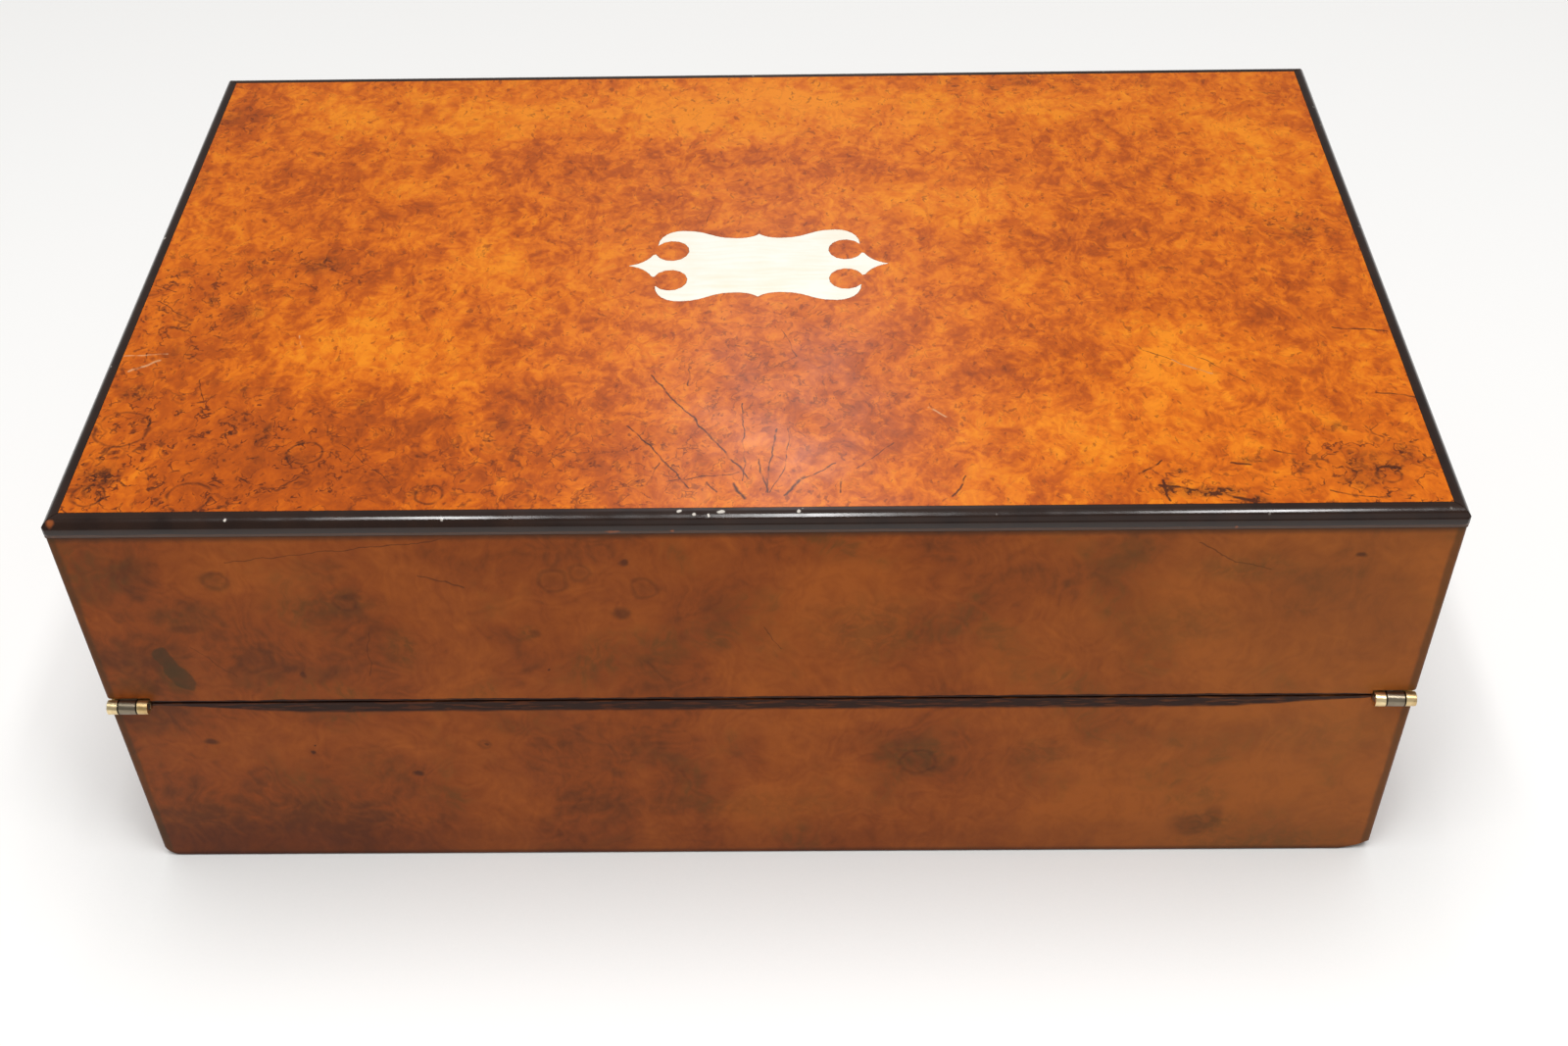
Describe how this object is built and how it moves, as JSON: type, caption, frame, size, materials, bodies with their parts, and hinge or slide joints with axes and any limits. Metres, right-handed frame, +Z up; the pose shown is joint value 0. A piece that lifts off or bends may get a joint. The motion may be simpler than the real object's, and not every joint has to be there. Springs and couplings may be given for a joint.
{
  "type": "writing slope",
  "caption": "Veneered box desk, cut along a slope and hinged to open flat into a leather-lined writing surface, with pen tray, inkwells, paper compartments and lock.",
  "frame": {"origin": "centre of the closed box's underside, on the surface it rests on", "axes": "+X to the right along the hinge side, +Y from the hinge side to the lock side, +Z up"},
  "size_m": [0.356, 0.2197, 0.135],
  "materials": {
    "burr_veneer": "polished burr veneer, bright amber with red-brown clouds",
    "walnut_veneer": "waxed walnut veneer, worn",
    "ebonised_moulding": "dark ebonised and polished, small chips",
    "bone": "polished bone inlay, plain",
    "carcass_board": "plain softwood",
    "interior_wood": "polished dark hardwood",
    "writing_leather": "smooth skiver leather, worn",
    "hinge_cloth": "worn cloth-backed leather strip",
    "hinge_brass": "aged brass",
    "fitting_brass": "aged brass",
    "steel_works": "dull steel",
    "inkwell_glass": "clear cut glass"
  },
  "bodies": {
    "base": {"base_bottom_board": "carcass_board", "base_hinge_veneer": "walnut_veneer", "base_hinge_wall": "interior_wood", "base_left_ledge": "interior_wood", "base_left_veneer": "walnut_veneer", "base_left_wall": "interior_wood", "base_lock_veneer": "walnut_veneer", "base_lock_wall": "interior_wood", "base_right_ledge": "interior_wood", "base_right_veneer": "walnut_veneer", "base_right_wall": "interior_wood", "compartment_partition": "interior_wood", "keyhole_liner": "fitting_brass", "left_hinge_base_leaf": "hinge_brass", "left_hinge_pin": "steel_works", "left_inkwell_cap": "fitting_brass", "left_inkwell_collar": "fitting_brass", "left_inkwell_divider": "interior_wood", "left_inkwell_floor": "interior_wood", "left_inkwell_glass": "inkwell_glass", "lock_case": "steel_works", "lock_plate": "fitting_brass", "pen_tray": "interior_wood", "right_hinge_base_leaf": "hinge_brass", "right_hinge_pin": "steel_works", "right_inkwell_cap": "fitting_brass", "right_inkwell_collar": "fitting_brass", "right_inkwell_divider": "interior_wood", "right_inkwell_floor": "interior_wood", "right_inkwell_glass": "inkwell_glass", "upper_flap_board": "interior_wood", "upper_flap_hinge_strip": "hinge_cloth", "upper_flap_leather": "writing_leather"},
    "lid": {"cartouche": "bone", "catch_guide": "fitting_brass", "hinge_side_moulding": "ebonised_moulding", "left_hinge_lid_leaf": "hinge_brass", "left_moulding": "ebonised_moulding", "lid_hinge_veneer": "walnut_veneer", "lid_hinge_wall": "interior_wood", "lid_left_ledge": "interior_wood", "lid_left_veneer": "walnut_veneer", "lid_left_wall": "interior_wood", "lid_lock_veneer": "walnut_veneer", "lid_lock_wall": "interior_wood", "lid_right_ledge": "interior_wood", "lid_right_veneer": "walnut_veneer", "lid_right_wall": "interior_wood", "lid_top_board": "carcass_board", "lid_top_veneer": "burr_veneer", "lock_link_plate": "fitting_brass", "lock_side_moulding": "ebonised_moulding", "lower_flap_board": "interior_wood", "lower_flap_hinge_strip": "hinge_cloth", "lower_flap_leather": "writing_leather", "lower_flap_rail": "interior_wood", "right_hinge_lid_leaf": "hinge_brass", "right_moulding": "ebonised_moulding"},
    "lock_bolt": {"lock_bolt": "steel_works"},
    "flap_catch": {"catch_slide": "fitting_brass"}
  },
  "joints": [
    {"name": "lid_hinge", "type": "hinge", "parent": "base", "child": "lid", "pos_m": [0, -0.1092, 0.0675], "axis": [1, 0, 0], "range_deg": [0, 180]},
    {"name": "bolt_slide", "type": "slide", "parent": "base", "child": "lock_bolt", "axis": [1, 0, 0], "range_m": [0, 0.0035]},
    {"name": "catch_slide_travel", "type": "slide", "parent": "lid", "child": "flap_catch", "axis": [0, -0.9854, -0.1701], "range_m": [0, 0.004]}
  ]
}
